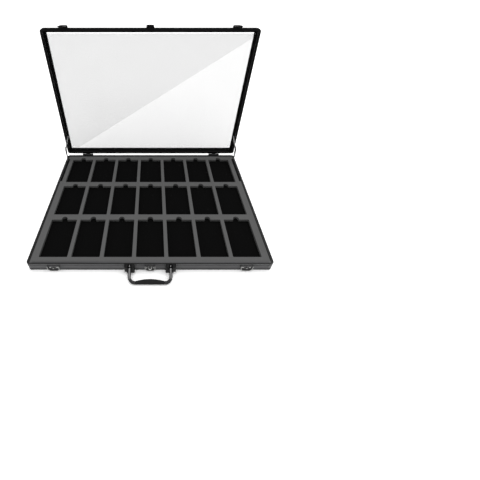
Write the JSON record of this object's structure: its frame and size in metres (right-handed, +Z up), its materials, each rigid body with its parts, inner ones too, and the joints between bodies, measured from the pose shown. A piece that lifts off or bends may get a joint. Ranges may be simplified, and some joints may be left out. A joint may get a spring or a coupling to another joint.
{
  "type": "graded card display case",
  "caption": "Low aluminium-framed display case with a clear hinged lid on folding stays, foam pockets for graded card slabs, latches, a hasp with staple and a folding handle.",
  "frame": {"origin": "below the middle of the open case in plan, on the surface that the case rests on; the middle of the base frame is 7.75 mm behind it", "axes": "+Z up, +X to the case's right as seen from the front, -Y towards the front with the handle and latches"},
  "size_m": [0.727, 0.589, 0.5712],
  "materials": {
    "base_rail_grey": "satin dark grey anodised extrusion",
    "lid_rail_black": "satin black anodised extrusion",
    "corner_black": "cast corner, semi-gloss black",
    "bottom_board": "matt black board",
    "foam_grey": "fine closed-cell foam, dark grey",
    "foam_black": "fine closed-cell foam, black",
    "clear_acrylic": "clear polished sheet",
    "black_zinc": "cast, semi-gloss black",
    "dark_zinc": "cast, dark grey satin",
    "dark_steel": "pressed steel, darkened",
    "nickel": "nickel-plated steel",
    "black_plastic": "moulded black plastic"
  },
  "bodies": {
    "base": {"base_back_rail": "base_rail_grey", "base_corner_back_left": "corner_black", "base_corner_back_right": "corner_black", "base_corner_front_left": "corner_black", "base_corner_front_right": "corner_black", "base_front_rail": "base_rail_grey", "base_left_rail": "base_rail_grey", "base_right_rail": "base_rail_grey", "bottom_panel": "bottom_board", "bracket_rivets": "nickel", "catch_rivets": "nickel", "foam_insert": "foam_grey", "handle_bracket_left": "dark_zinc", "handle_bracket_right": "dark_zinc", "handle_pins": "nickel", "hinge_base_leaf_left": "dark_steel", "hinge_base_leaf_right": "dark_steel", "hinge_pin_left": "nickel", "hinge_pin_right": "nickel", "hinge_rivets_base": "dark_steel", "latch_catch_left": "dark_zinc", "latch_catch_right": "dark_zinc", "pocket_floor_foam": "foam_black", "staple_loop": "nickel", "staple_plate": "dark_zinc", "stay_base_studs": "nickel"},
    "lid": {"hasp_block": "black_zinc", "hasp_pin": "nickel", "hinge_lid_leaf_left": "dark_steel", "hinge_lid_leaf_right": "dark_steel", "hinge_rivets_lid": "dark_steel", "latch_block_left": "black_zinc", "latch_block_right": "black_zinc", "latch_pin_left": "nickel", "latch_pin_right": "nickel", "lid_back_rail": "lid_rail_black", "lid_corner_back_left": "corner_black", "lid_corner_back_right": "corner_black", "lid_corner_front_left": "corner_black", "lid_corner_front_right": "corner_black", "lid_front_rail": "lid_rail_black", "lid_left_rail": "lid_rail_black", "lid_right_rail": "lid_rail_black", "lid_window": "clear_acrylic", "stay_lid_studs": "nickel"},
    "latch_left": {"latch_lever_left": "dark_zinc"},
    "latch_right": {"latch_lever_right": "dark_zinc"},
    "hasp": {"hasp_plate": "dark_zinc"},
    "handle": {"handle_bail": "dark_zinc", "handle_grip": "black_plastic"},
    "stay_lower_left": {"stay_lower_link_left": "nickel", "stay_elbow_rivet_left": "nickel", "stay_sleeve_left": "black_plastic"},
    "stay_upper_left": {"stay_upper_link_left": "nickel"},
    "stay_lower_right": {"stay_lower_link_right": "nickel", "stay_elbow_rivet_right": "nickel", "stay_sleeve_right": "black_plastic"},
    "stay_upper_right": {"stay_upper_link_right": "nickel"}
  },
  "joints": [
    {"name": "lid_hinge", "type": "hinge", "parent": "base", "child": "lid", "pos_m": [0, 0.27173, 0.03425], "axis": [1, 0, 0], "range_deg": [0, 90]},
    {"name": "latch_left_pivot", "type": "hinge", "parent": "lid", "child": "latch_left", "pos_m": [-0.285, 0.27748, 0.55775], "axis": [-1, 0, 0], "range_deg": [-10, 70]},
    {"name": "latch_right_pivot", "type": "hinge", "parent": "lid", "child": "latch_right", "pos_m": [0.285, 0.27748, 0.55775], "axis": [-1, 0, 0], "range_deg": [-10, 70]},
    {"name": "hasp_pivot", "type": "hinge", "parent": "lid", "child": "hasp", "pos_m": [0, 0.27748, 0.55775], "axis": [-1, 0, 0], "range_deg": [-20, 25]},
    {"name": "handle_fold", "type": "hinge", "parent": "base", "child": "handle", "pos_m": [0, -0.25377, 0.016], "axis": [-1, 0, 0], "range_deg": [0, 75]},
    {"name": "stay_foot_left", "type": "hinge", "parent": "base", "child": "stay_lower_left", "pos_m": [-0.354, 0.22573, 0.01125], "axis": [1, 0, 0], "range_deg": [0, 90]},
    {"name": "stay_head_left", "type": "hinge", "parent": "lid", "child": "stay_upper_left", "pos_m": [-0.3517, 0.27803, 0.12225], "axis": [1, 0, 0], "range_deg": [-90, 0]},
    {"name": "stay_foot_right", "type": "hinge", "parent": "base", "child": "stay_lower_right", "pos_m": [0.354, 0.22573, 0.01125], "axis": [1, 0, 0], "range_deg": [0, 90]},
    {"name": "stay_head_right", "type": "hinge", "parent": "lid", "child": "stay_upper_right", "pos_m": [0.3517, 0.27803, 0.12225], "axis": [1, 0, 0], "range_deg": [-90, 0]}
  ],
  "couplings": [
    {"joint": "stay_foot_left", "follows": "lid_hinge", "ratio": 1},
    {"joint": "stay_head_left", "follows": "lid_hinge", "ratio": -1},
    {"joint": "stay_foot_right", "follows": "lid_hinge", "ratio": 1},
    {"joint": "stay_head_right", "follows": "lid_hinge", "ratio": -1}
  ]
}
